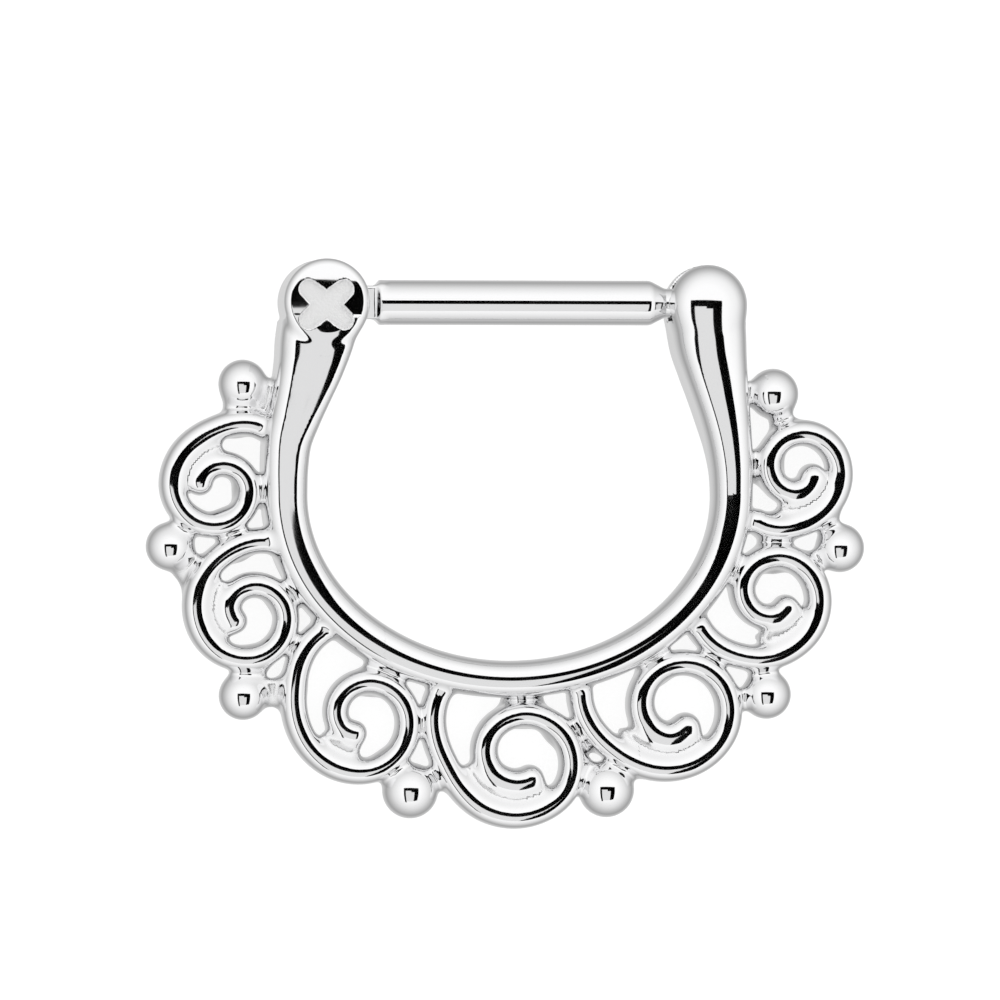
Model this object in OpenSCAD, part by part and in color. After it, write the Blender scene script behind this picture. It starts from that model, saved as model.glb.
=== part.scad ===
// Hinged septum ring with a filigree border, in mm.
// The ring lies on its back: X from the hinge to the catch, Y towards the bar, Z to the front.
// The modules are drawn from the middle of the opening; "shift" then moves them to the box centre.

/* [Bar] */
// thickness of the bar, 16 gauge
bar_d = 1.2; // [1:0.1:1.6]
// height of the bar's axis above the back
bar_z = 1.15; // [1:0.05:1.4]
// thin round nose that drops into the catch
nose_d = 0.78; // [0.6:0.02:0.9]
// length of the cone between bar and nose
nose_taper = 0.4; // [0.2:0.05:0.6]
// flat tongue at the hinge, front to back
tongue_t = 0.88; // [0.7:0.02:0.92]
// tongue across the bar
tongue_h = 0.88; // [0.7:0.02:1]
// radius of the eye round the pin
eye_r = 0.6; // [0.5:0.02:0.65]

/* [Heads] */
// radius of the flat round hinge head
hinge_r = 1.16; // [1:0.02:1.3]
// thickness of the hinge head
hinge_h = 2.3; // [2:0.05:2.6]
// rounding of the hinge head's edges
hinge_edge = 0.14; // [0.05:0.01:0.2]
// radius of the domed catch head
catch_r = 1.09; // [1:0.01:1.15]
// thickness of the catch head
catch_h = 2.2; // [1.9:0.05:2.3]
// rounding of the catch head's edges
catch_edge = 0.62; // [0.3:0.02:0.7]
// hinge pin
pin_d = 0.8; // [0.6:0.05:0.9]
// length of the pin, from the back; the front of the head stays closed
pin_h = 1.95; // [1.7:0.05:2.1]
// clearance round the pin, in the tongue
pin_gap = 0.03; // [0.01:0.01:0.08]
// width of the hinge slot, front to back
slot_t = 0.96; // [0.9:0.02:1]
// how far the nose reaches into the catch head
nose_grip = 0.36; // [0.2:0.02:0.5]
// clearance round the nose in the catch
nose_gap = 0.04; // [0.02:0.01:0.08]
// depth of the stamped cross on the hinge head
cross_depth = 0.14; // [0.05:0.01:0.2]
// width of the cross's arms
cross_w = 0.54; // [0.4:0.02:0.6]

/* [Band] */
// half width of the band's middle line, at the widest
band_a = 6.04; // [5.5:0.05:6.5]
// how far the middle line drops below the widest point
band_b = 4.98; // [4.5:0.05:5.5]
// radial width of the band at the bottom
band_w = 1.16; // [0.9:0.05:1.4]
// depth of the band, back to front
band_h = 1.75; // [1.4:0.05:2]

/* [Filigree] */
// width of the scroll wire
wire_w = 0.72; // [0.6:0.02:0.8]
// thickness of the scroll wire
wire_h = 1.3; // [1:0.05:1.6]
// width over the outermost beads
border_w = 19.44; // [18.5:0.02:20.5]
// the border is set in from the back by this much
border_z = 0.1; // [0.05:0.05:0.3]

/* [Hidden] */
$fn = 48;
eps = 0.01;
steel = [0.78, 0.78, 0.8];

// from the middle of the opening to the middle of the whole part's box
shift = [0.07, 1.37, 0];

hinge_xy = [-5.05, 5.12];
catch_xy = [5.27, 5.12];

// the two arms above the widest point, from there up to the heads
// height, x of the left arm, x of the right arm, width, depth left, depth right
arms = [
    [0.00, -6.08, 6.00, 1.16, 1.75, 1.75],
    [0.69, -6.08, 5.98, 1.19, 1.76, 1.77],
    [1.41, -6.02, 5.90, 1.25, 1.78, 1.81],
    [2.10, -5.83, 5.78, 1.37, 1.81, 1.87],
    [2.76, -5.63, 5.64, 1.54, 1.85, 1.95],
    [3.42, -5.44, 5.50, 1.75, 1.90, 2.04],
    [4.10, -5.29, 5.38, 1.95, 1.94, 2.10],
    [5.12, -5.07, 5.27, 2.04, 1.96, 2.12]
];

// each scroll is a wire that leaves the band and winds inwards, anticlockwise:
// centre x, centre y, first angle, whole turn, width of the tail, step where the turns first touch,
// then the wire's distance from the centre at twelve equal steps of the turn
scrolls = [
    [-7.90,  0.12,   54, 464, 0.72, 0.80,
     [2.06, 1.56, 1.31, 1.18, 1.06, 0.96, 0.90, 0.86, 0.80, 0.70, 0.59, 0.49]],
    [-7.01, -3.25,   73, 486, 0.72, 1.35,
     [2.06, 1.76, 1.52, 1.34, 1.20, 1.10, 1.01, 0.93, 0.85, 0.75, 0.62, 0.45]],
    [-3.95, -6.05,  117, 477, 0.70, 2.00,
     [2.60, 2.00, 1.65, 1.45, 1.34, 1.25, 1.17, 1.08, 0.98, 0.84, 0.67, 0.45]],
    [ 0.38, -7.07,  143, 502, 0.78, 1.05,
     [2.87, 2.08, 1.75, 1.54, 1.42, 1.26, 1.16, 1.15, 1.14, 1.01, 0.77, 0.61]],
    [ 4.67, -5.78,  172, 468, 0.86, 0.70,
     [2.80, 2.10, 1.66, 1.40, 1.29, 1.25, 1.24, 1.23, 1.19, 1.08, 0.87, 0.53]],
    [ 7.22, -2.70, -157, 463, 0.72, 1.15,
     [2.28, 1.88, 1.51, 1.26, 1.11, 1.04, 1.02, 0.99, 0.91, 0.77, 0.60, 0.46]],
    [ 7.87,  0.69, -129, 453, 0.76, 0.40,
     [1.86, 1.49, 1.24, 1.09, 1.01, 0.96, 0.92, 0.87, 0.81, 0.71, 0.56, 0.42]]
];

// beads in the outer notches of the border: x, y, radius
beads = [
    [-7.19,  2.94, 0.65], [-9.14, -1.41, 0.65], [-7.18, -5.41, 0.65], [-2.69, -7.96, 0.75],
    [ 2.62, -7.95, 0.75], [ 6.99, -5.41, 0.66], [ 8.99, -1.46, 0.66], [ 7.17,  2.69, 0.68]
];

// solder bridges between the pieces: x, y, to x, y, width
bridges = [
    [-7.12,  2.62, -6.00,  2.45, 1.10], [-7.19,  2.94, -7.35,  1.85, 0.60],
    [-9.14, -1.41, -8.60, -0.75, 0.50], [-9.14, -1.41, -8.40, -2.30, 0.80],
    [-7.18, -5.41, -6.95, -4.60, 0.80], [-7.18, -5.41, -6.00, -5.30, 0.75],
    [-2.69, -7.96, -3.25, -7.30, 0.70], [-2.69, -7.96, -1.85, -7.60, 0.60],
    [ 2.62, -7.95,  1.95, -7.35, 0.60], [ 2.62, -7.95,  3.25, -7.25, 0.70],
    [ 6.99, -5.41,  6.10, -5.60, 0.50], [ 6.99, -5.41,  6.85, -4.60, 0.60],
    [ 8.99, -1.46,  8.20, -1.85, 0.50], [ 8.99, -1.46,  8.60, -0.60, 0.50],
    [ 7.17,  2.69,  7.50,  1.75, 0.60], [ 7.17,  2.69,  6.00,  2.70, 0.60],
    [-7.05,  0.09, -6.20,  0.05, 0.70], [-6.19, -2.84, -5.50, -2.50, 0.50],
    [-3.75, -5.10, -3.50, -4.50, 0.60], [ 0.36, -5.92,  0.40, -5.10, 1.10],
    [ 4.00, -4.75,  3.70, -4.20, 0.80], [ 6.38, -2.22,  5.80, -1.95, 0.70],
    [ 7.02,  0.72,  6.20,  0.72, 0.80], [ 1.30, -6.40,  2.10, -6.60, 0.60],
    [ 7.20, -1.75,  7.25, -0.95, 0.80], [-7.65, -0.75, -7.30, -1.50, 0.60]
];

// smooth value between the entries of a list, t counts entries from 0
function smooth(v, t) =
    let (n = len(v) - 1, i = min(floor(t), n - 1), f = t - i,
         a = v[max(i - 1, 0)], b = v[i], c = v[i + 1], d = v[min(i + 2, n)])
    0.5 * (2 * b + (c - a) * f + (2 * a - 5 * b + 4 * c - d) * f * f + (3 * b - a - 3 * c + d) * f * f * f);

function column(table, k) = [for (row = table) row[k]];
function signed_pow(x, p) = sign(x) * pow(abs(x), p);
function heading(a, b) = atan2(b[1] - a[1], b[0] - a[0]);

// rounded cross-section with m corners, flat at its top and bottom: [across, 0 to 1 upwards]
function section(m, power) =
    let (edge = pow(cos(180 / m), 2 / power))
    [for (j = [0 : m - 1]) let (a = (j + 0.5) * 360 / m + 90)
        [0.5 * signed_pow(cos(a), 2 / power) / edge, 0.5 + 0.5 * signed_pow(sin(a), 2 / power) / edge]];

// closed skin over a row of stations: [x, y, heading, width, underside, height]
module sweep(stations, m, power) {
    s = section(m, power);
    n = len(stations);
    points = [for (q = stations) for (p = s)
        [q[0] - p[0] * q[3] * sin(q[2]), q[1] + p[0] * q[3] * cos(q[2]), q[4] + p[1] * q[5]]];
    sides = [for (i = [0 : n - 2]) for (j = [0 : m - 1])
        let (k = (j + 1) % m, a = i * m + j, b = i * m + k, c = a + m, d = b + m)
        each [[a, c, d], [a, d, b]]];
    ends = [[for (j = [0 : m - 1]) j], [for (j = [m - 1 : -1 : 0]) (n - 1) * m + j]];
    polyhedron(points, concat(sides, ends));
}

// band: left arm from the hinge head down, round the bottom, right arm up to the catch head;
// the arms' undersides rise a little towards the heads
arm_steps = [for (i = [0 : 0.4 : 6.8]) i];
function arm(side, t) =
    let (z = 0.015 * t)
    [smooth(column(arms, side == 1 ? 2 : 1), t), smooth(column(arms, 0), t),
     smooth(column(arms, 3), t), z, smooth(column(arms, side == 1 ? 5 : 4), t) - z];
function bottom(a) = [-0.04 - band_a * cos(a), -band_b * sin(a), band_w, 0, band_h];
band_line = concat(
    [for (i = [len(arm_steps) - 1 : -1 : 1]) arm(-1, arm_steps[i])],
    [for (a = [0 : 7.5 : 180]) bottom(a)],
    [for (i = [1 : len(arm_steps) - 1]) arm(1, arm_steps[i])]);
band_stations = [for (i = [0 : len(band_line) - 1])
    let (p = band_line[i], a = band_line[max(i - 1, 0)], b = band_line[min(i + 1, len(band_line) - 1)])
    [p[0], p[1], heading(a, b), p[2], p[3], p[4]]];

// scroll wire: rooted inside the band, wound inwards, rounded off at the tail
function scroll_at(s, t) =
    let (a = s[2] + s[3] * t / 11, r = smooth(s[6], t)) [s[0] + r * cos(a), s[1] + r * sin(a)];
function wire_at(s, t) =
    let (p = scroll_at(s, t), h = heading(scroll_at(s, max(t - 0.05, 0)), scroll_at(s, min(t + 0.05, 11))))
    [p[0], p[1], h, wire_w + (s[4] - wire_w) * smooth_step((t - 7) / 3), border_z, wire_h];
function smooth_step(x) = let (c = min(max(x, 0), 1)) c * c * (3 - 2 * c);
function moved(q, far, narrow, low) =
    [q[0] + far * cos(q[2]), q[1] + far * sin(q[2]), q[2], q[3] * narrow, q[4], q[5] * low];
function scroll_start(s) =
    concat([moved(wire_at(s, 0), -0.4, 1, 1)], [for (t = [0 : 0.35 : 5.5]) wire_at(s, t)]);
function scroll_tail(s) =
    let (last = wire_at(s, 11), r = last[3] / 2)
    concat([moved(wire_at(s, 5.1), 0, 0.9, 0.95)],
           [for (t = [5.55 : 0.35 : 10.7]) wire_at(s, t)],
           [for (e = [0, 0.5, 0.8, 0.95])
               moved(last, e * r, sqrt(1 - e * e), 0.75 + 0.25 * sqrt(1 - e * e))]);

// lower seam that closes the groove where the inner turn lies against the outer one
function seam_at(s, t) =
    let (lap = 3960 / s[3], a = s[2] + s[3] * t / 11,
         outer = smooth(s[6], t), inner = smooth(s[6], min(t + lap, 11)), r = (outer + inner) / 2)
    [s[0] + r * cos(a), s[1] + r * sin(a), outer - inner - wire_w];
function seam_stations(s) =
    [for (t = [s[5] : 0.48 : 11.25 - 3960 / s[3]])
        let (p = seam_at(s, t), h = heading(seam_at(s, t - 0.05), seam_at(s, t + 0.05)),
             start = smooth_step((t - s[5] + 0.2) / 0.7))
        [p[0], p[1], h, (max(p[2], 0) + 0.4) * start, border_z + 0.05, 0.6 * wire_h]];

module scroll(s) {
    sweep(scroll_start(s), 8, 2.3);
    sweep(scroll_tail(s), 8, 2.3);
    sweep(seam_stations(s), 6, 2.3);
}

module bridge(b) {
    h = heading([b[0], b[1]], [b[2], b[3]]);
    sweep([for (i = [0, 2]) [b[i], b[i + 1], h, b[4], border_z + 0.08, 0.6 * wire_h]], 6, 2.3);
}

module wirework() {
    sweep(band_stations, 10, 2.5);
    for (s = scrolls) scroll(s);
    for (b = bridges) bridge(b);
    for (b = beads) translate([b[0], b[1], b[2] + border_z / 2]) sphere(r = b[2] * 1.015, $fn = 14);
}

module hinge_head() {
    c = hinge_edge;
    rotate_extrude($fn = 40)
        polygon([[0, 0], [hinge_r - c, 0], [hinge_r - 0.3 * c, 0.3 * c], [hinge_r, c],
                 [hinge_r, hinge_h - c], [hinge_r - 0.3 * c, hinge_h - 0.3 * c],
                 [hinge_r - c, hinge_h], [0, hinge_h]]);
}

// domed button, rounded towards its front and back
module catch_head() {
    c = catch_edge;
    rotate_extrude($fn = 36)
        polygon(concat([[0, -catch_h / 2]],
                       [for (a = [-90 : 22.5 : 0]) [catch_r - c + c * cos(a), c - catch_h / 2 + c * sin(a)]],
                       [for (a = [0 : 22.5 : 90]) [catch_r - c + c * cos(a), catch_h / 2 - c + c * sin(a)]],
                       [[0, catch_h / 2]]));
}

// stamped cross on the front of the hinge head
module cross() {
    translate([-0.04, -0.08, hinge_h - cross_depth])
        for (a = [-41, 41]) rotate([0, 0, a]) {
            translate([-0.64, -cross_w / 2, 0]) cube([1.28, cross_w, 1]);
            for (x = [-0.64, 0.64]) translate([x, 0, 0]) cylinder(h = 1, d = cross_w, $fn = 24);
        }
}

// room for the tongue, open only to the right and upwards
module hinge_slot() {
    translate([0, 0, bar_z - slot_t / 2]) {
        cylinder(h = slot_t, r = eye_r + 0.05);
        translate([-tongue_h / 2 - 0.06, -tongue_h / 2 - 0.06, 0]) cube([2, 2, slot_t]);
    }
}

// notch for the nose in the catch head, open towards the bar and upwards
module catch_notch() {
    d = nose_d + 2 * nose_gap;
    translate([-catch_r + nose_grip + nose_gap - 1, 0, bar_z]) {
        rotate([0, 90, 0]) cylinder(h = 1, d = d);
        translate([0, 0, -d / 2]) cube([1, 2, d]);
    }
}

// one casting, drawn to the width over the outermost beads
module ring() {
    color(steel) translate(shift) resize([border_w, 0, 0], auto = [true, true, false]) difference() {
        union() {
            wirework();
            translate(hinge_xy) hinge_head();
            translate([catch_xy[0], catch_xy[1], bar_z]) catch_head();
        }
        translate(hinge_xy) {
            cross();
            hinge_slot();
            translate([0, 0, -eps]) cylinder(h = pin_h + eps, d = pin_d);
        }
        translate(catch_xy) catch_notch();
    }
}

module hinge_pin() {
    color(steel) translate(shift) translate(hinge_xy) cylinder(h = pin_h, d = pin_d);
}

// where the bar's full thickness starts, and where it ends, from the hinge axis
bar_start = 1.46;
bar_end = 8.8;
nose_end = catch_xy[0] - hinge_xy[0] - catch_r + nose_grip;

module bar() {
    color(steel) translate(shift) translate(hinge_xy) difference() {
        union() {
            translate([bar_start, 0, bar_z]) rotate([0, 90, 0]) cylinder(h = bar_end - bar_start, d = bar_d);
            translate([bar_end, 0, bar_z]) rotate([0, 90, 0])
                cylinder(h = nose_taper, d1 = bar_d, d2 = nose_d);
            translate([bar_end + nose_taper - eps, 0, bar_z]) rotate([0, 90, 0])
                cylinder(h = nose_end - bar_end - nose_taper + eps, d = nose_d);
            translate([0, 0, bar_z - tongue_t / 2]) {
                cylinder(h = tongue_t, r = eye_r);
                translate([0, -tongue_h / 2, 0]) cube([bar_start + 0.1, tongue_h, tongue_t]);
            }
        }
        cylinder(h = hinge_h, d = pin_d + 2 * pin_gap);
    }
}

ring();
hinge_pin();
bar();
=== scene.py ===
import math

import bpy
import numpy as np
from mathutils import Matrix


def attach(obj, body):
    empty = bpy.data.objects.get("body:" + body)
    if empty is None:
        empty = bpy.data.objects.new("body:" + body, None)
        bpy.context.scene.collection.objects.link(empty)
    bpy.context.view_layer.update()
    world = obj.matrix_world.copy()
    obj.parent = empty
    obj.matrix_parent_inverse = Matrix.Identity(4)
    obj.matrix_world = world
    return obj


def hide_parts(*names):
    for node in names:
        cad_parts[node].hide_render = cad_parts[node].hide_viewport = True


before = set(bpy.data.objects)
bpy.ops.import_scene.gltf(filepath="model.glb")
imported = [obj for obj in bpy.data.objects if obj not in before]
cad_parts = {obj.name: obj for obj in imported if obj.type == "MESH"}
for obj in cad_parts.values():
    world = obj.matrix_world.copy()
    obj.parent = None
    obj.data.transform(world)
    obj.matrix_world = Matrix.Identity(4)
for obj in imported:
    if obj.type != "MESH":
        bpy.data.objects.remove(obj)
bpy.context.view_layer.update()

import openvdb
from mathutils import Matrix, Vector

# The shapes below are worked out in millimetres from the middle of the ring's opening, with the
# ring on its back: x from the hinge to the catch, y towards the bar, z to the front. SHIFT moves
# them to the frame.
MM = 0.001
SHIFT = np.array([0.07, 1.37, 0.0])

# Bar, whose places along x are counted from the hinge pin and whose axis is at BAR_Z
BAR_D = 1.2
BAR_Z = 1.15
BAR_START = 1.46
BAR_END = 8.8
BAR_EDGE = 0.05
NOSE_D = 0.78
NOSE_TAPER = 0.4
NOSE_GRIP = 0.36
NOSE_GAP = 0.04
NOSE_EDGE = 0.06
TONGUE_T = 0.88
TONGUE_H = 0.88
TONGUE_DROP = 0.03
TONGUE_TILT = 0.1
TONGUE_EDGE = 0.06
TONGUE_FILLET = 0.22
EYE_R = 0.6

# Hinge head
HINGE = (-5.05, 5.12)
HINGE_R = 1.153
HINGE_H = 2.3
HINGE_EDGE = 0.2
HINGE_DOME = 0.11
DOME_SHIFT = 0.12
PIN_D = 0.8
PIN_H = 1.95
PIN_GAP = 0.03
HOLE_GAP = 0.012
HOLE_EDGE = 0.03
SLOT_T = 0.96
SLOT_GAP = 0.06
EYE_GAP = 0.05
SLOT_EDGE = 0.04

# the head's own mesh reaches this far from the pin, and the rest of the ring laps into it
HEAD_REACH = 1.48
HEAD_LAP = 0.04

# the arm runs into the head to this far from the pin, and ends this far below it
ARM_INSET = 0.72
ARM_END = 0.5

# Stamped cross
CROSS_X = -0.04
CROSS_Y = -0.08
CROSS_ANGLE = 41
CROSS_DEPTH = 0.14
CROSS_ROOT = 0.30
CROSS_TIP = 0.22
CROSS_ARM = 0.87
CROSS_ROUND = 0.25
CROSS_EDGE = 0.035

# Catch head
CATCH = (5.27, 5.12)
CATCH_R = 1.09
CATCH_H = 2.2
CATCH_DOME = 1.6
CATCH_SHOULDER = 0.45
CATCH_LEAN = 0.12
NOTCH_EDGE = 0.05

# Band
BAND_X = -0.04
BAND_A = 6.04
BAND_B = 4.98
BAND_W = 1.16
BAND_H = 1.75
BAND_SHOULDER = 0.4
BAND_SHARPER = 0.14
BAND_FILLET = 0.2

# the left arm's front leans outwards by this slope, up to this far from the arm's middle
LEAN = 0.075
LEAN_REACH = 0.8

# the band's front dips at the lower left: by how much, how far down it takes, and the angles from
# the left end of the bottom, in radians, where it starts to rise again and how long that takes
DIP = 0.105
DIP_Y = 3
DIP_START = 0.6
DIP_LENGTH = 1.9

# radius of the band's front at its lowest point, then for the left and right side what it gains
# up to the widest point, what it gains above that, and the height where this is reached
CROWN_BOTTOM = 0.62
CROWN_LEFT = (0.8, 1.6, 4.5)
CROWN_RIGHT = (0.2, 0.68, 3.5)

# the two arms from the widest point up to the heads:
# height, x of the left arm, x of the right arm, width, depth left, depth right
ARMS = np.array(
    [
        [0.00, -6.08, 6.00, 1.16, 1.75, 1.75],
        [0.69, -6.08, 5.98, 1.19, 1.82, 1.82],
        [1.41, -6.02, 5.90, 1.25, 1.89, 1.89],
        [2.10, -5.83, 5.78, 1.37, 1.96, 1.96],
        [2.76, -5.63, 5.64, 1.54, 2.02, 2.03],
        [3.42, -5.44, 5.50, 1.75, 2.09, 2.09],
        [4.10, -5.29, 5.38, 1.95, 2.19, 2.16],
        [5.12, -5.07, 5.27, 2.04, 2.25, 2.24],
    ]
)
# the band ends inside the heads, at this row of the table
ARM_ROWS = 6.8

# Filigree, whose back is BORDER_Z above the table
BORDER_Z = 0.1
WIRE_W = 0.72
WIRE_H = 1.3
WIRE_CROWN = 0.6
WIRE_FILLET = 0.16
SEAM_H = 1.05
SEAM_LIFT = 0.05
SEAM_LAP = 0.32
SEAM_CROWN = 2.0
SEAM_FILLET = 0.3
BRIDGE_H = 0.75
BRIDGE_LIFT = 0.08
BRIDGE_SLOPE = 0.4
BRIDGE_CROWN = 1.0
BRIDGE_SHOULDER = 0.2
BRIDGE_FILLET = 0.3
BEAD_FILLET = 0.18
SOLDER_BLUR = 0.16

# each scroll is a wire that leaves the band and winds inwards, anticlockwise:
# centre x, centre y, first angle, whole turn, width of the tail, step where the turns first touch,
# then the wire's distance from the centre at twelve equal steps of the turn
SCROLLS = [
    (-7.90, 0.12, 54, 464, 0.72, 0.80,
     (2.06, 1.56, 1.31, 1.18, 1.06, 0.96, 0.90, 0.86, 0.80, 0.70, 0.59, 0.49)),
    (-7.01, -3.25, 73, 486, 0.72, 1.35,
     (2.06, 1.76, 1.52, 1.34, 1.20, 1.10, 1.01, 0.93, 0.85, 0.75, 0.62, 0.45)),
    (-3.95, -6.05, 117, 477, 0.70, 2.00,
     (2.60, 2.00, 1.65, 1.45, 1.34, 1.25, 1.17, 1.08, 0.98, 0.84, 0.67, 0.45)),
    (0.38, -7.07, 143, 502, 0.78, 1.05,
     (2.87, 2.08, 1.74, 1.515, 1.41, 1.26, 1.16, 1.15, 1.14, 1.01, 0.77, 0.61)),
    (4.67, -5.78, 172, 468, 0.86, 0.70,
     (2.80, 2.10, 1.66, 1.40, 1.29, 1.25, 1.24, 1.23, 1.19, 1.08, 0.87, 0.53)),
    (7.22, -2.70, -157, 463, 0.72, 1.15,
     (2.28, 1.88, 1.51, 1.26, 1.11, 1.04, 1.02, 0.99, 0.91, 0.77, 0.60, 0.46)),
    (7.87, 0.69, -129, 453, 0.76, 0.40,
     (1.86, 1.49, 1.24, 1.09, 1.01, 0.96, 0.92, 0.87, 0.81, 0.71, 0.56, 0.42)),
]
LAST_STEP = 11

# from this step on the wire goes over to its tail's width, within this many steps
TAIL_STEP = 7
TAIL_STEPS = 3

# beads in the outer notches of the border: x, y, radius
BEADS = [
    (-7.19, 2.94, 0.65), (-9.14, -1.41, 0.65), (-7.18, -5.41, 0.65), (-2.69, -7.96, 0.75),
    (2.62, -7.95, 0.75), (6.99, -5.41, 0.66), (8.99, -1.46, 0.66), (7.17, 2.69, 0.68),
]

# solder bridges between the pieces: x, y, to x, y, width
BRIDGES = [
    (-7.12, 2.62, -6.00, 2.45, 1.10), (-7.19, 2.94, -7.35, 1.85, 0.60),
    (-9.14, -1.41, -8.60, -0.75, 0.50), (-9.14, -1.41, -8.40, -2.30, 0.80),
    (-7.18, -5.41, -6.95, -4.60, 0.80), (-7.18, -5.41, -6.00, -5.30, 0.75),
    (-2.69, -7.96, -3.25, -7.30, 0.70), (-2.69, -7.96, -1.85, -7.60, 0.60),
    (2.62, -7.95, 1.95, -7.35, 0.60), (2.62, -7.95, 3.25, -7.25, 0.70),
    (6.99, -5.41, 6.10, -5.60, 0.50), (6.99, -5.41, 6.85, -4.60, 0.60),
    (8.99, -1.46, 8.20, -1.85, 0.50), (8.99, -1.46, 8.60, -0.60, 0.50),
    (7.17, 2.69, 7.50, 1.75, 0.60), (7.17, 2.69, 6.00, 2.70, 0.60),
    (-7.05, 0.09, -6.20, 0.05, 0.70), (-6.19, -2.84, -5.50, -2.50, 0.50),
    (-3.75, -5.10, -3.50, -4.50, 0.60), (0.37, -5.74, 0.40, -5.10, 1.10),
    (4.00, -4.75, 3.70, -4.20, 0.80), (6.38, -2.22, 5.80, -1.95, 0.70),
    (7.02, 0.72, 6.20, 0.72, 0.80), (1.30, -6.40, 2.10, -6.60, 0.60),
    (7.20, -1.75, 7.25, -0.95, 0.80), (-7.65, -0.75, -7.30, -1.50, 0.60),
]

# Meshes: the length of a voxel for each, and the parts of the ring, which overlap by a hair so
# that each stays small: name, from x, to x, upper end
RING_VOXEL = 0.056
HEAD_VOXEL = 0.034
BAR_VOXEL = 0.05
RING_PARTS = (("left", -9.9, -3.4, 6.4), ("middle", -3.5, 3.5, -2.5), ("right", 3.4, 9.8, 6.4))
RING_BOTTOM = -9.2
ROOM = 0.05

# a field is cut off at this distance from its surface, and a grid keeps this many voxels of it
REACH = 0.7
HALO = 3


# Fields: each function returns the signed distance to a surface at x, y, z, negative inside


def smooth(values, t):
    """Smooth value between the entries of a list, where t counts entries from 0."""
    values = np.asarray(values, float)
    last = len(values) - 1
    i = np.clip(np.floor(t).astype(int), 0, last - 1)
    f = t - i
    a, b = values[np.maximum(i - 1, 0)], values[i]
    c, d = values[i + 1], values[np.minimum(i + 2, last)]
    square, cube = 2 * a - 5 * b + 4 * c - d, 3 * b - a - 3 * c + d
    return 0.5 * (2 * b + (c - a) * f + square * f**2 + cube * f**3)


def ease(x):
    """Rises smoothly from 0 to 1 while x goes from 0 to 1."""
    c = np.clip(x, 0, 1)
    return c * c * (3 - 2 * c)


def join(a, b, k):
    """Union of two fields with a fillet about k wide."""
    h = np.clip(0.5 + 0.5 * (b - a) / k, 0, 1)
    return b + (a - b) * h - k * h * (1 - h)


def overlap(a, b, k):
    """What two fields have in common, its edges rounded by about k."""
    return -join(-a, -b, k)


def carve(a, b, k):
    """Field a with b cut out, its edges rounded by about k."""
    return -join(-a, b, k)


def round_rect(u, v, half_u, half_v, r):
    """Rectangle with rounded corners."""
    du, dv = np.abs(u) - half_u + r, np.abs(v) - half_v + r
    outside = np.hypot(np.maximum(du, 0), np.maximum(dv, 0))
    return outside + np.minimum(np.maximum(du, dv), 0) - r


def cast_section(d, z, half, low, high, crown, shoulder):
    """Section of a cast wire: an arc of radius crown on its front, nearly square on its back."""
    above, back_edge = 0.4, 0.12
    middle = (low + high) / 2 + above
    block = round_rect(d, z - middle, half, (high - low) / 2 + above, back_edge)
    arc = np.hypot(d, z - high + crown) - crown
    return overlap(block, arc, shoulder)


class Track:
    """A wire along a line in plan. Its route(t) gives x, y, width, underside, top and the radius of
    the front."""

    def __init__(self, route, start, end, step):
        self.route, self.start, self.end, self.step = route, start, end, step
        self.stops = np.linspace(start, end, max(2, round((end - start) / step) + 1))
        self.line = np.stack(route(self.stops)[:2], -1)

    def nearest(self, x, y):
        """Distance in plan from the line, and the line's facts at the nearest point."""
        best = np.full(x.shape, 1e9)
        t = np.zeros(x.shape)
        for stop, (px, py) in zip(self.stops, self.line):
            d = (x - px) ** 2 + (y - py) ** 2
            nearer = d < best
            best[nearer] = d[nearer]
            t[nearer] = stop
        h = 1e-3
        for _ in range(4):
            a, b, c = self.route(t - h), self.route(t), self.route(t + h)
            dx, dy = (c[0] - a[0]) / (2 * h), (c[1] - a[1]) / (2 * h)
            ddx, ddy = (c[0] - 2 * b[0] + a[0]) / h**2, (c[1] - 2 * b[1] + a[1]) / h**2
            speed = dx * dx + dy * dy
            slope = (b[0] - x) * dx + (b[1] - y) * dy
            bend = speed + (b[0] - x) * ddx + (b[1] - y) * ddy
            move = slope / np.maximum(bend, 0.25 * speed)
            t = np.clip(t - np.clip(move, -self.step, self.step), self.start, self.end)
        px, py, width, low, high, crown = self.route(t)
        return np.hypot(x - px, y - py), width, low, high, crown

    def field(self, x, y, z, shoulder=0.3):
        """Signed distance to the wire; REACH where the point is out of its neighbourhood."""
        around = 1.1
        low, high = self.line.min(0) - around, self.line.max(0) + around
        near = (x > low[0]) & (x < high[0]) & (y > low[1]) & (y < high[1])
        if x.shape != z.shape:
            # a grid: the distance in plan is worked out once for each of its columns
            flat = near[..., 0]
            facts = [np.full(flat.shape, v) for v in (9.0, 1.0, 0.0, 1.0, 1.0)]
            for whole, part in zip(facts, self.nearest(x[..., 0][flat], y[..., 0][flat])):
                whole[flat] = part
            d, width, under, top, crown = (v[..., None] for v in facts)
            section = cast_section(d, z, width / 2, under, top, crown, shoulder)
            return np.minimum(section, REACH)
        out = np.full(x.shape, REACH)
        shoulder = np.broadcast_to(shoulder, x.shape)[near]
        d, width, under, top, crown = self.nearest(x[near], y[near])
        section = cast_section(d, z[near], width / 2, under, top, crown, shoulder)
        out[near] = np.minimum(section, REACH)
        return out


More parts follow.
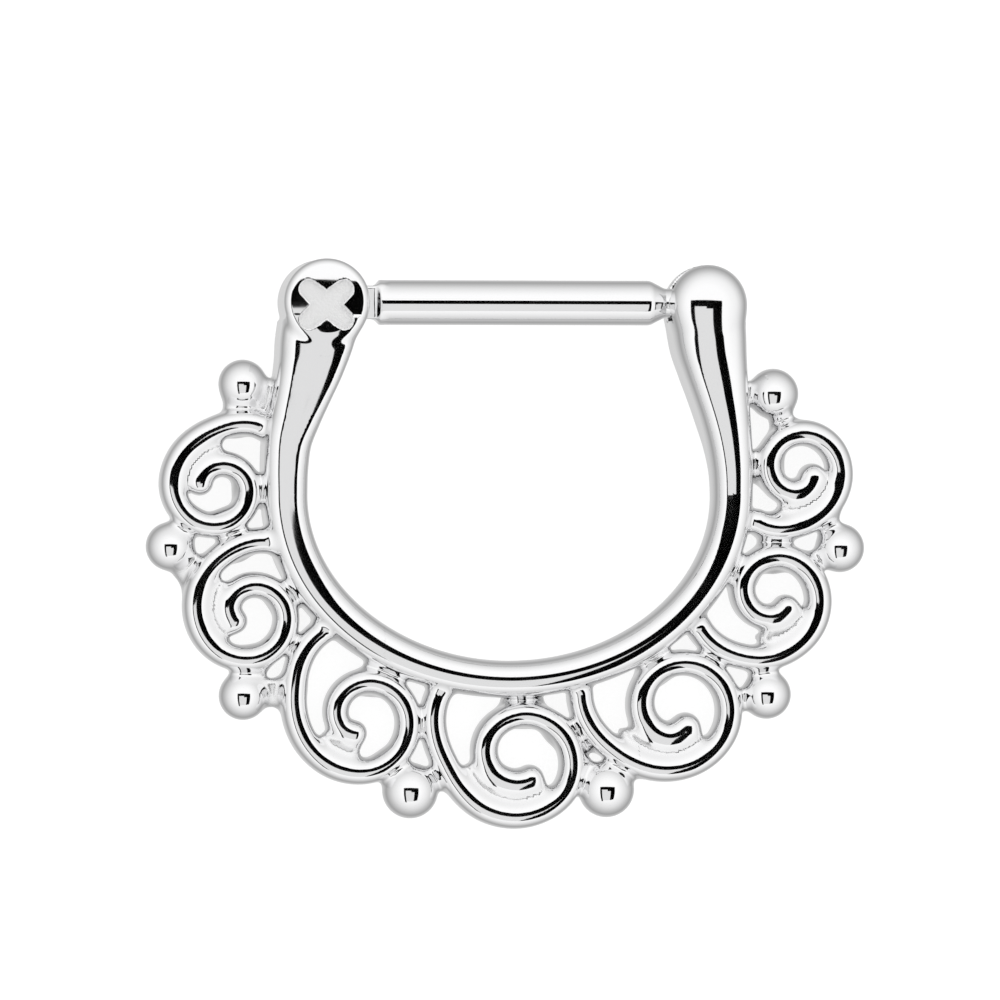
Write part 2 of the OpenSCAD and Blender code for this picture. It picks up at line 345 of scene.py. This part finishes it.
def band_track():
    """Left arm from the hinge head down, round the bottom, right arm up to the catch head."""

    def route(t):
        # t runs 0..1 down the left arm, 1..2 round the bottom, 2..3 up the right arm
        on_left = t < 1.5
        rows = np.where(on_left, (1 - t) * ARM_ROWS, (t - 2) * ARM_ROWS)
        k = np.clip(rows, 0, ARM_ROWS + 0.2)
        arm_x = np.where(on_left, smooth(ARMS[:, 1], k), smooth(ARMS[:, 2], k))
        depth = np.where(on_left, smooth(ARMS[:, 4], k), smooth(ARMS[:, 5], k))
        a = np.radians(180 * np.clip(t - 1, 0, 1))
        bottom = (t > 1) & (t < 2)
        x = np.where(bottom, BAND_X - BAND_A * np.cos(a), arm_x)
        y = np.where(bottom, -BAND_B * np.sin(a), smooth(ARMS[:, 0], k))
        width = np.where(bottom, BAND_W, smooth(ARMS[:, 3], k))
        dip = np.where(on_left, 1 - (1 + np.clip(y, -DIP_Y, 0) / DIP_Y) ** 2, 1)
        dip = DIP * dip * (1 - ease((a - DIP_START) / DIP_LENGTH))
        top = np.where(bottom, BAND_H - dip, depth)
        gains = zip(CROWN_LEFT, CROWN_RIGHT)
        below, above, full = (np.where(on_left, left, right) for left, right in gains)
        crown = CROWN_BOTTOM + below * (1 - np.sin(a)) + above * ease(y / full)
        return x, y, width, 0 * t, top, crown

    return Track(route, 0.0, 3.0, 0.02)


def scroll_track(s):
    """The wire of one scroll."""
    cx, cy, first, turn, tail, _, radii = s

    def route(t):
        a = np.radians(first + turn * t / LAST_STEP)
        r = smooth(radii, np.clip(t, 0, LAST_STEP))
        width = WIRE_W + (tail - WIRE_W) * ease((t - TAIL_STEP) / TAIL_STEPS)
        low, high = BORDER_Z + 0 * t, BORDER_Z + WIRE_H + 0 * t
        return cx + r * np.cos(a), cy + r * np.sin(a), width, low, high, WIRE_CROWN + 0 * t

    return Track(route, 0.0, LAST_STEP, 0.12)


def seam_track(s):
    """The lower seam that closes the groove where the inner turn lies against the outer one."""
    cx, cy, first, turn, _, touch, radii = s
    lap = LAST_STEP * 360 / turn

    def route(t):
        a = np.radians(first + turn * t / LAST_STEP)
        outer, inner = smooth(radii, t), smooth(radii, np.minimum(t + lap, LAST_STEP))
        r = (outer + inner) / 2
        width = np.maximum(outer - inner - WIRE_W, 0) + SEAM_LAP
        width = width * ease((t - touch + 0.2) / 0.7)
        low = BORDER_Z + SEAM_LIFT + 0 * t
        return cx + r * np.cos(a), cy + r * np.sin(a), width, low, low + SEAM_H, SEAM_CROWN + 0 * t

    return Track(route, touch, LAST_STEP + 0.2 - lap, 0.12)


BAND = band_track()
WIRES = [scroll_track(s) for s in SCROLLS]
SEAMS = [seam_track(s) for s in SCROLLS]


def band_field(x, y, z):
    """The band. Its left arm's front leans a little outwards and has a sharper inner shoulder."""
    arc = BAND_X - BAND_A * np.sqrt(1 - (np.clip(y, -BAND_B, 0) / BAND_B) ** 2)
    middle = np.where(y > 0, np.interp(y, ARMS[:, 0], ARMS[:, 1]), arc)
    slope = LEAN * ease((y + 3) / 2.5)
    lean = np.where(x < 0, slope * np.clip(x - middle, -LEAN_REACH, LEAN_REACH), 0)
    inner = np.where(x < 0, ease((y - 1) / 2) * ease(0.5 + (x - middle) / 0.6), 0)
    return BAND.field(x, y, z - lean, BAND_SHOULDER - BAND_SHARPER * inner)


def bridge_field(b, x, y, z):
    """A low web of solder between two pieces, a little higher towards the bar."""
    ax, ay, bx, by, width = b
    length = math.hypot(bx - ax, by - ay)
    along = np.clip(((x - ax) * (bx - ax) + (y - ay) * (by - ay)) / length**2, 0, 1)
    d = np.hypot(x - ax - along * (bx - ax), y - ay - along * (by - ay))
    low = BORDER_Z + BRIDGE_LIFT
    high = low + BRIDGE_H + np.clip(BRIDGE_SLOPE * (y - (ay + by) / 2), -0.25, 0.15)
    return cast_section(d, z, width / 2, low, high, BRIDGE_CROWN, BRIDGE_SHOULDER)


def bead_field(bead, x, y, z):
    """A ball whose lowest point is between the table and the border's back."""
    bx, by, r = bead
    return np.sqrt((x - bx) ** 2 + (y - by) ** 2 + (z - r - BORDER_Z / 2) ** 2) - r


def filigree_field(x, y, z):
    """Scrolls, seams, solder and beads."""
    out = WIRES[0].field(x, y, z)
    for wire in WIRES[1:]:
        out = join(out, wire.field(x, y, z), WIRE_FILLET)
    for seam in SEAMS:
        out = join(out, seam.field(x, y, z), SEAM_FILLET)
    for b in BRIDGES:
        out = join(out, bridge_field(b, x, y, z), BRIDGE_FILLET)
    for bead in BEADS:
        out = join(out, bead_field(bead, x, y, z), BEAD_FILLET)
    return out


def solder_share(x, y, z):
    """1 where the surface is solder between the pieces, 0 where it is polished."""
    polished = band_field(x, y, z)
    for wire in WIRES:
        polished = np.minimum(polished, wire.field(x, y, z))
    for bead in BEADS:
        polished = np.minimum(polished, bead_field(bead, x, y, z))
    solder = np.full(x.shape, REACH)
    for seam in SEAMS:
        solder = np.minimum(solder, seam.field(x, y, z))
    for b in BRIDGES:
        solder = np.minimum(solder, bridge_field(b, x, y, z))
    return ease(0.5 + (polished - solder) / SOLDER_BLUR)


def catch_field(x, y, z):
    """The domed head that the nose clicks into. Its foot is set a little outwards."""
    lean = CATCH_LEAN * ease((1.3 - z) / 0.9)
    rho = np.hypot(x - CATCH[0] - lean, y - CATCH[1] + lean / 2)
    top = BAR_Z + CATCH_H / 2
    return cast_section(rho, z, CATCH_R, top - CATCH_H, top, CATCH_DOME, CATCH_SHOULDER)


def notch_field(x, y, z):
    """Room for the nose, open towards the bar and upwards."""
    x, y, z = x - CATCH[0], y - CATCH[1], z - BAR_Z
    r = NOSE_D / 2 + NOSE_GAP
    across = np.where(y > 0, np.abs(z), np.hypot(y, z)) - r
    return np.maximum(across, x + CATCH_R - NOSE_GRIP - NOSE_GAP)


def from_pin(x, y):
    """Distance in plan from the hinge pin's axis."""
    return np.hypot(x - HINGE[0], y - HINGE[1])


def slot_field(x, y, z):
    """Room for the tongue, open to the right and upwards."""
    reach = TONGUE_H / 2 + SLOT_GAP
    corner = np.maximum(HINGE[0] - reach - x, HINGE[1] - reach - y)
    plan = np.minimum(from_pin(x, y) - EYE_R - EYE_GAP, corner)
    return np.maximum(plan, np.abs(z - BAR_Z) - SLOT_T / 2)


def ring_field(x, y, z):
    """Band, filigree and catch head."""
    out = join(band_field(x, y, z), filigree_field(x, y, z), BAND_FILLET)
    out = join(out, catch_field(x, y, z), BAND_FILLET)
    out = carve(out, notch_field(x, y, z), NOTCH_EDGE)
    out = carve(out, slot_field(x, y, z), SLOT_EDGE)
    return np.maximum(out, -z)


def ring_part(x0, x1):
    """Field of the ring between x0 and x1, without the hinge head."""

    def part(x, y, z):
        out = np.maximum(ring_field(x, y, z), np.abs(x - (x0 + x1) / 2) - (x1 - x0) / 2)
        return np.maximum(out, HEAD_REACH - HEAD_LAP - from_pin(x, y))

    return part


def cross_field(x, y):
    """Outline of the stamped cross, in plan: two bars with rounded ends that taper outwards."""
    x, y = x - HINGE[0] - CROSS_X, y - HINGE[1] - CROSS_Y
    out = np.full(np.broadcast(x, y).shape, 9.0)
    for angle in (-CROSS_ANGLE, CROSS_ANGLE):
        c, s = math.cos(math.radians(angle)), math.sin(math.radians(angle))
        u, v = np.abs(x * c + y * s), np.abs(y * c - x * s)
        side = v - CROSS_ROOT + (CROSS_ROOT - CROSS_TIP) * u / CROSS_ARM
        out = np.minimum(out, overlap(side, u - CROSS_ARM, CROSS_ROUND))
    return out


def hinge_head_field(x, y, z):
    """Round head with a slightly domed front that runs into the arm; its cross, slot and hole."""
    rho = from_pin(x, y)
    off = from_pin(x, y - DOME_SHIFT * ease((y - HINGE[1] + 0.3) / 0.6))
    top = HINGE_H - HINGE_DOME * (off / HINGE_R) ** 2
    out = round_rect(rho, z - top / 2, HINGE_R, top / 2, HINGE_EDGE)
    arm = carve(band_field(x, y, z), rho - ARM_INSET, BAND_FILLET)
    arm = np.maximum(arm, y - HINGE[1] + ARM_END)
    out = np.maximum(join(out, arm, BAND_FILLET), -z)
    cross = np.maximum(cross_field(x, y), HINGE_H - CROSS_DEPTH - z)
    out = carve(out, cross, CROSS_EDGE)
    out = carve(out, slot_field(x, y, z), SLOT_EDGE)
    hole = np.maximum(rho - PIN_D / 2 - HOLE_GAP, z - PIN_H)
    return carve(out, hole, HOLE_EDGE)


def hinge_head(x, y, z):
    """The hinge head with as much of the arm as its own mesh takes."""
    return np.maximum(hinge_head_field(x, y, z), from_pin(x, y) - HEAD_REACH)


def rod(x, rho, start, end, r, edge):
    """A round rod along x with rounded ends."""
    return round_rect(x - (start + end) / 2, rho, (end - start) / 2, r, edge)


def bar_field(x, y, z):
    """Bar along x: tongue with its eye, full bar, cone and nose."""
    x, y, z = x - HINGE[0], y - HINGE[1], z - BAR_Z
    rho = np.hypot(y, z)
    nose_end = CATCH[0] - HINGE[0] - CATCH_R + NOSE_GRIP
    slope = math.atan2((BAR_D - NOSE_D) / 2, NOSE_TAPER)
    cone = (rho - BAR_D / 2) * math.cos(slope) + (x - BAR_END) * math.sin(slope)
    full = rod(x, rho, BAR_START, BAR_END + NOSE_TAPER, BAR_D / 2, BAR_EDGE)
    nose = rod(x, rho, BAR_END, nose_end, NOSE_D / 2, NOSE_EDGE)
    out = join(overlap(full, cone, 0.04), nose, 0.03)
    eye = np.hypot(x, y) - EYE_R
    blade = round_rect(x - BAR_START / 2, y, BAR_START / 2 + 0.1, TONGUE_H / 2, 0.02)
    # the tongue's front is a little lower than the solid's, and its blade is tilted about the bar
    lie = z + TONGUE_DROP - TONGUE_TILT * y * ease((x - EYE_R) / 0.3)
    half = TONGUE_T / 2 - TONGUE_DROP
    tongue = round_rect(np.minimum(eye, blade) + TONGUE_T, lie, TONGUE_T, half, TONGUE_EDGE)
    out = join(out, tongue, TONGUE_FILLET)
    return carve(out, np.hypot(x, y) - PIN_D / 2 - PIN_GAP, 0.02)


# Meshing


def gradient(of, points, here, h):
    """Gradient of a field at the points, where its values are here, by steps of h."""
    steps = [of(*(points + h * np.eye(3)[i]).T) - here for i in range(3)]
    return np.stack(steps, -1) / h


def surface(name, field, low, high, voxel, body, nodes, shading=None):
    """A closed mesh where the field is zero, which rides the body and replaces the CAD nodes. Its
    vertices are moved onto the field itself, and its normals are those of the shading field where
    one is given."""
    axes = [np.arange(low[i] - 2 * voxel, high[i] + 3 * voxel, voxel) for i in range(3)]
    x, y = np.meshgrid(axes[0], axes[1], indexing="ij")
    values = field(x[..., None], y[..., None], axes[2][None, None, :])
    grid = openvdb.FloatGrid(HALO * voxel)
    grid.copyFromArray(np.clip(values, -HALO * voxel, HALO * voxel).astype(np.float32))
    points, _, quads = grid.convertToPolygons(isovalue=0.0, adaptivity=0.0)
    points = np.array([a[0] for a in axes]) + points.astype(float) * voxel
    for _ in range(2):
        here = field(*points.T)
        g = gradient(field, points, here, 0.004)
        move = (here / np.maximum((g * g).sum(-1), 0.2))[:, None] * g
        points -= np.clip(move, -voxel / 2, voxel / 2)
    shading = shading or field
    normals = gradient(shading, points, shading(*points.T), 0.006)
    normals /= np.maximum(np.linalg.norm(normals, axis=1), 1e-6)[:, None]

    mesh = bpy.data.meshes.new(name)
    mesh.from_pydata(((points + SHIFT) * MM).tolist(), [], quads.tolist())
    mesh.validate()
    mesh.update()
    mesh.shade_smooth()
    mesh.normals_split_custom_set_from_vertices(normals.tolist())
    obj = bpy.data.objects.new(name, mesh)
    bpy.context.scene.collection.objects.link(obj)
    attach(obj, body)
    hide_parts(*nodes)
    return obj


# Materials


def add_node(nodes, kind, **inputs):
    """A new shader node with values for its inputs, where _ stands for a space in their names."""
    node = nodes.new("ShaderNode" + kind)
    for name, value in inputs.items():
        node.inputs[name.replace("_", " ")].default_value = value
    return node


def steel(name, roughness, tone, haze=0.03, grain=0.0):
    """Polished or matte surgical steel, with faint cloudy haze and optional fine grain."""
    m = bpy.data.materials.new(name)
    m.use_nodes = True
    nodes, links = m.node_tree.nodes, m.node_tree.links
    shader = nodes["Principled BSDF"]
    shader.inputs["Base Color"].default_value = (*tone, 1)
    shader.inputs["Metallic"].default_value = 1.0
    place = add_node(nodes, "TexCoord")
    cloud = add_node(nodes, "TexNoise", Scale=900.0, Detail=3.0)
    links.new(place.outputs["Object"], cloud.inputs["Vector"])
    spread = add_node(nodes, "MapRange", From_Min=0.35, From_Max=0.7)
    spread.inputs["To Min"].default_value = roughness
    spread.inputs["To Max"].default_value = roughness + haze
    links.new(cloud.outputs["Fac"], spread.inputs["Value"])
    # soldered places are rougher
    solder = add_node(nodes, "Attribute")
    solder.attribute_name = "solder"
    rougher = add_node(nodes, "Math")
    rougher.operation = "MULTIPLY_ADD"
    rougher.inputs[1].default_value = 0.26
    links.new(solder.outputs["Fac"], rougher.inputs[0])
    links.new(spread.outputs["Result"], rougher.inputs[2])
    links.new(rougher.outputs["Value"], shader.inputs["Roughness"])
    if grain:
        fine = add_node(nodes, "TexNoise", Scale=14000.0, Detail=2.0)
        links.new(place.outputs["Object"], fine.inputs["Vector"])
        bump = add_node(nodes, "Bump", Strength=grain, Distance=0.00002)
        links.new(fine.outputs["Fac"], bump.inputs["Height"])
        links.new(bump.outputs["Normal"], shader.inputs["Normal"])
    return m


def paint(name, tone, glow):
    """Matte paint of a grey tone that also gives off light of its own."""
    m = bpy.data.materials.new(name)
    m.use_nodes = True
    shader = m.node_tree.nodes["Principled BSDF"]
    shader.inputs["Base Color"].default_value = (tone, tone, tone, 1)
    shader.inputs["Roughness"].default_value = 1.0
    shader.inputs["Specular IOR Level"].default_value = 0.0
    shader.inputs["Emission Color"].default_value = (1, 1, 1, 1)
    shader.inputs["Emission Strength"].default_value = glow
    return m


POLISHED = steel("polished_steel", 0.04, (0.88, 0.88, 0.885))
STAMPED = steel("stamped_steel", 0.62, (0.97, 0.97, 0.97), 0.05, 0.4)


# Ring, bar and pin

coarser = 1.0

rings = []
for side, x0, x1, top in RING_PARTS:
    corners = (x0 - ROOM, RING_BOTTOM, -0.1), (x1 + ROOM, top, HINGE_H + 0.1)
    voxel = RING_VOXEL * coarser
    part = ring_part(x0, x1)
    obj = surface("ring_" + side, part, *corners, voxel, "ring", ["ring"], ring_field)
    points = np.array([v.co for v in obj.data.vertices]) / MM - SHIFT
    share = obj.data.attributes.new("solder", "FLOAT", "POINT")
    share.data.foreach_set("value", solder_share(*points.T).astype(np.float32))
    rings.append(obj)

corners = (HINGE[0] - 1.4, HINGE[1] - 1.55, -ROOM), (HINGE[0] + 1.2, HINGE[1] + 1.2, HINGE_H + ROOM)
voxel = HEAD_VOXEL * coarser
shading = hinge_head_field
head = surface("ring_hinge_head", hinge_head, *corners, voxel, "ring", ["ring"], shading)

corners = (-5.75, 4.45, 0.5), (4.65, 5.8, 1.8)
bar = surface("bar_rod", bar_field, *corners, BAR_VOXEL * coarser, "bar", ["bar"])

for obj in (*rings, head, bar):
    obj.data.materials.append(POLISHED)
head.data.materials.append(STAMPED)

# the floor of the stamped cross keeps its matte grain
floor_z = (HINGE_H - CROSS_DEPTH + 0.03) * MM
roof_z = (PIN_H + 0.05) * MM
for face in head.data.polygons:
    if roof_z < face.center.z < floor_z:
        x, y = face.center.x / MM - SHIFT[0], face.center.y / MM - SHIFT[1]
        if cross_field(np.array(x), np.array(y)) < 0.02:
            face.material_index = 1

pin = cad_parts["hinge_pin"]
pin.data.materials.clear()
pin.data.materials.append(POLISHED)


# Camera, as far off and as wide as shows the ring at the photo's scale

PICTURE = 1000
PIXELS_PER_MM = 37.25
AIM = Vector((-0.27 + SHIFT[0], -0.17 + SHIFT[1], 0.9)) * MM
YAW = math.radians(7.0)
DISTANCE = 0.240
SENSOR = 36

TOWARDS_CAMERA = Vector((-math.sin(YAW), 0, math.cos(YAW)))
RIGHT = Vector((math.cos(YAW), 0, math.sin(YAW)))
UP = Vector((0, 1, 0))

scene = bpy.context.scene
camera_data = bpy.data.cameras.new("camera")
camera_data.sensor_width = SENSOR
camera_data.lens = SENSOR * DISTANCE / (PICTURE / PIXELS_PER_MM * MM)
camera_data.clip_start = 0.01
camera_data.clip_end = 5
camera = bpy.data.objects.new("camera", camera_data)
scene.collection.objects.link(camera)
scene.camera = camera
camera.location = AIM + TOWARDS_CAMERA * DISTANCE
camera.rotation_mode = "QUATERNION"
camera.rotation_quaternion = Matrix((RIGHT, UP, TOWARDS_CAMERA)).transposed().to_quaternion()


# Studio: glowing pale floor, soft white surroundings, dark cards round the camera's opening

FLOOR_HALF = 3.0
FLOOR = paint("floor_light_table", 0.3, 0.84)
BLACK = paint("flag_black", 0.0, 0.0)
GREY = paint("card_grey", 0.0, 0.83)

# the cards, each placed by its edges as the ring sees them: name, material, distance from the ring,
# then left, right, lower and upper edge as tangents of their angles from the camera's direction
CARDS = (
    ("flag_top_left", BLACK, 0.320, -0.46, 0.12, -0.01, 0.20),
    ("flag_top_right", BLACK, 0.320, 0.11, 0.74, -0.12, 0.20),
    ("flag_left", BLACK, 0.321, -0.46, -0.30, -1.20, 0.0),
    ("flag_right", BLACK, 0.321, 0.34, 0.74, -1.00, -0.11),
    ("card_inside", GREY, 0.322, -0.31, 0.35, -1.00, 0.0),
)

# grey tones of the surroundings, from straight below, 0, towards straight above, 1
SKY = ((0.0, 0.62), (0.22, 0.36), (0.40, 0.53), (0.60, 0.75), (0.75, 0.88), (0.90, 1.0))
SKY_STRENGTH = 1.12


def stage_sheet(name, corners, material):
    """A flat sheet of the studio, which is no part of the ring."""
    mesh = bpy.data.meshes.new(name)
    mesh.from_pydata([tuple(c) for c in corners], [], [(0, 1, 2, 3)])
    mesh.materials.append(material)
    obj = bpy.data.objects.new(name, mesh)
    scene.collection.objects.link(obj)
    return obj


def card(name, material, distance, x0, x1, y0, y1):
    """A card behind the camera, which only shows in the steel."""
    corners = []
    for tx, ty in ((x0, y0), (x1, y0), (x1, y1), (x0, y1)):
        corners.append(AIM + distance * (TOWARDS_CAMERA + tx * RIGHT + ty * UP))
    sheet = stage_sheet(name, corners, material)
    sheet.visible_camera = False
    sheet.visible_shadow = False
    sheet.visible_diffuse = False


def surroundings():
    """A soft grey and white sky whose tone depends on the height alone."""
    world = bpy.data.worlds.new("studio")
    scene.world = world
    world.use_nodes = True
    nodes, links = world.node_tree.nodes, world.node_tree.links
    place = add_node(nodes, "TexCoord")
    split = add_node(nodes, "SeparateXYZ")
    height = add_node(nodes, "MapRange", From_Min=-1.0, From_Max=1.0)
    ramp = add_node(nodes, "ValToRGB")
    stops = ramp.color_ramp.elements
    stops[0].position, stops[1].position = SKY[0][0], SKY[-1][0]
    for position, _ in SKY[1:-1]:
        stops.new(position)
    for stop, (_, tone) in zip(stops, SKY):
        stop.color = (tone, tone, tone, 1)
    links.new(place.outputs["Generated"], split.inputs["Vector"])
    links.new(split.outputs["Z"], height.inputs["Value"])
    links.new(height.outputs["Result"], ramp.inputs["Fac"])
    links.new(ramp.outputs["Color"], nodes["Background"].inputs["Color"])
    nodes["Background"].inputs["Strength"].default_value = SKY_STRENGTH


turns = ((-1, -1), (1, -1), (1, 1), (-1, 1))
floor = stage_sheet("floor", [(x * FLOOR_HALF, y * FLOOR_HALF, 0) for x, y in turns], FLOOR)
floor.visible_glossy = False
for one in CARDS:
    card(*one)
surroundings()
scene.view_settings.view_transform = "Standard"
